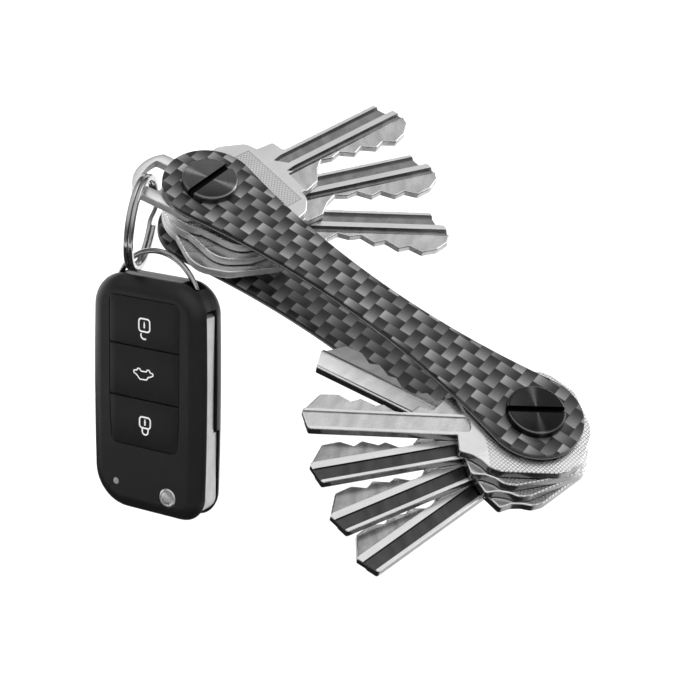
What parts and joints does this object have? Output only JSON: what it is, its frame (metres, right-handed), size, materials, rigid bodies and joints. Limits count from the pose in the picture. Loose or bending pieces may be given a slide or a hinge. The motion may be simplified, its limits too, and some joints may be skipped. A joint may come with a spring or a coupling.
{
  "type": "key organiser",
  "caption": "Slim two-plate pocket key organiser: flat keys fan out from screw posts at both ends, with a loop tab, a split ring and a flip-key remote hanging from it.",
  "frame": {"origin": "midway between the two screw posts, at mid thickness of the plate stack", "axes": "+X towards the right post, +Y across the plates, +Z from the bottom plate to the top plate"},
  "size_m": [0.1095, 0.093, 0.0648],
  "materials": {
    "carbon": "carbon fibre weave under clear resin",
    "black_steel": "black anodised, spun",
    "steel": "satin steel",
    "key_nickel": "nickel plated, milled",
    "chrome": "polished",
    "spring_steel": "drawn wire",
    "case": "fine satin moulding",
    "button_rubber": "soft satin",
    "lens": "translucent grey",
    "board": "solder mask",
    "battery_steel": "stamped steel"
  },
  "bodies": {
    "root": {"top_plate": "carbon", "bottom_plate": "carbon", "left_screw": "black_steel", "right_screw": "black_steel", "left_post": "black_steel", "right_post": "black_steel", "left_spacer": "steel"},
    "tab": {"loop_tab": "steel"},
    "key_left_1": {"key_left_1": "key_nickel"},
    "key_left_2": {"key_left_2": "key_nickel"},
    "key_left_3": {"key_left_3": "key_nickel"},
    "key_right_1": {"key_right_1": "key_nickel"},
    "key_right_2": {"key_right_2": "key_nickel"},
    "key_right_3": {"key_right_3": "key_nickel"},
    "key_right_4": {"key_right_4": "key_nickel"},
    "key_right_5": {"key_right_5": "key_nickel"},
    "ring": {"split_ring": "chrome"},
    "bail": {"fob_bail": "chrome"},
    "remote": {"fob_front_shell": "case", "fob_back_shell": "case", "fob_release_spring": "spring_steel", "fob_led_lens": "lens", "fob_circuit_board": "board", "fob_battery": "battery_steel", "fob_blade_pivot": "spring_steel", "fob_blade_spring": "spring_steel", "fob_case_screw": "black_steel"},
    "unlock_button": {"fob_unlock_button": "button_rubber"},
    "boot_button": {"fob_boot_button": "button_rubber"},
    "lock_button": {"fob_lock_button": "button_rubber"},
    "release_button": {"fob_release_button": "chrome"},
    "blade": {"fob_blade": "steel"}
  },
  "joints": [
    {"name": "tab_turn", "type": "hinge", "parent": "root", "child": "tab", "pos_m": [-0.041, 0, 0.00464], "axis": [0, 0, 1], "range_deg": [-6, 6]},
    {"name": "key_left_1_fold", "type": "hinge", "parent": "root", "child": "key_left_1", "pos_m": [-0.041, 0, 0.00232], "axis": [0, 0, 1], "range_deg": [-66.7, 34.3]},
    {"name": "key_left_2_fold", "type": "hinge", "parent": "root", "child": "key_left_2", "pos_m": [-0.041, 0, 0], "axis": [0, 0, 1], "range_deg": [-49.5, 51.5]},
    {"name": "key_left_3_fold", "type": "hinge", "parent": "root", "child": "key_left_3", "pos_m": [-0.041, 0, -0.00232], "axis": [0, 0, 1], "range_deg": [-31.3, 69.7]},
    {"name": "key_right_1_fold", "type": "hinge", "parent": "root", "child": "key_right_1", "pos_m": [0.041, 0, 0.00464], "axis": [0, 0, 1], "range_deg": [-33.6, 127.9]},
    {"name": "key_right_2_fold", "type": "hinge", "parent": "root", "child": "key_right_2", "pos_m": [0.041, 0, 0.00232], "axis": [0, 0, 1], "range_deg": [-47.8, 113.7]},
    {"name": "key_right_3_fold", "type": "hinge", "parent": "root", "child": "key_right_3", "pos_m": [0.041, 0, 0], "axis": [0, 0, 1], "range_deg": [-61.1, 100.4]},
    {"name": "key_right_4_fold", "type": "hinge", "parent": "root", "child": "key_right_4", "pos_m": [0.041, 0, -0.00232], "axis": [0, 0, 1], "range_deg": [-72.8, 88.7]},
    {"name": "key_right_5_fold", "type": "hinge", "parent": "root", "child": "key_right_5", "pos_m": [0.041, 0, -0.00464], "axis": [0, 0, 1], "range_deg": [-10.2, 157.8]},
    {"name": "ring_swing", "type": "hinge", "parent": "tab", "child": "ring", "pos_m": [-0.0501, -0.00963, 0.00464], "axis": [-0.8843, -0.4506, -0.1224], "range_deg": [-4, 14]},
    {"name": "bail_swing", "type": "hinge", "parent": "ring", "child": "bail", "pos_m": [-0.04571, -0.01426, -0.01003], "axis": [-0.3778, 0.8446, -0.3795], "range_deg": [-2, 5]},
    {"name": "remote_swing", "type": "hinge", "parent": "bail", "child": "remote", "pos_m": [-0.03976, -0.015, -0.01139], "axis": [0.9025, 0.1705, 0.3955], "range_deg": [-8, 8]},
    {"name": "unlock_button_press", "type": "slide", "parent": "remote", "child": "unlock_button", "axis": [0.0155, 0.9048, -0.4255], "range_m": [0, 0.00035], "stiffness_N_per_m": 400},
    {"name": "boot_button_press", "type": "slide", "parent": "remote", "child": "boot_button", "axis": [0.0155, 0.9048, -0.4255], "range_m": [0, 0.00035], "stiffness_N_per_m": 400},
    {"name": "lock_button_press", "type": "slide", "parent": "remote", "child": "lock_button", "axis": [0.0155, 0.9048, -0.4255], "range_m": [0, 0.00035], "stiffness_N_per_m": 400},
    {"name": "release_button_press", "type": "slide", "parent": "remote", "child": "release_button", "axis": [0.0155, 0.9048, -0.4255], "range_m": [0, 0.0005], "stiffness_N_per_m": 500},
    {"name": "blade_flip", "type": "hinge", "parent": "remote", "child": "blade", "pos_m": [-0.01558, -0.03098, -0.0445], "axis": [0.0155, 0.9048, -0.4255], "range_deg": [0, 180]}
  ]
}
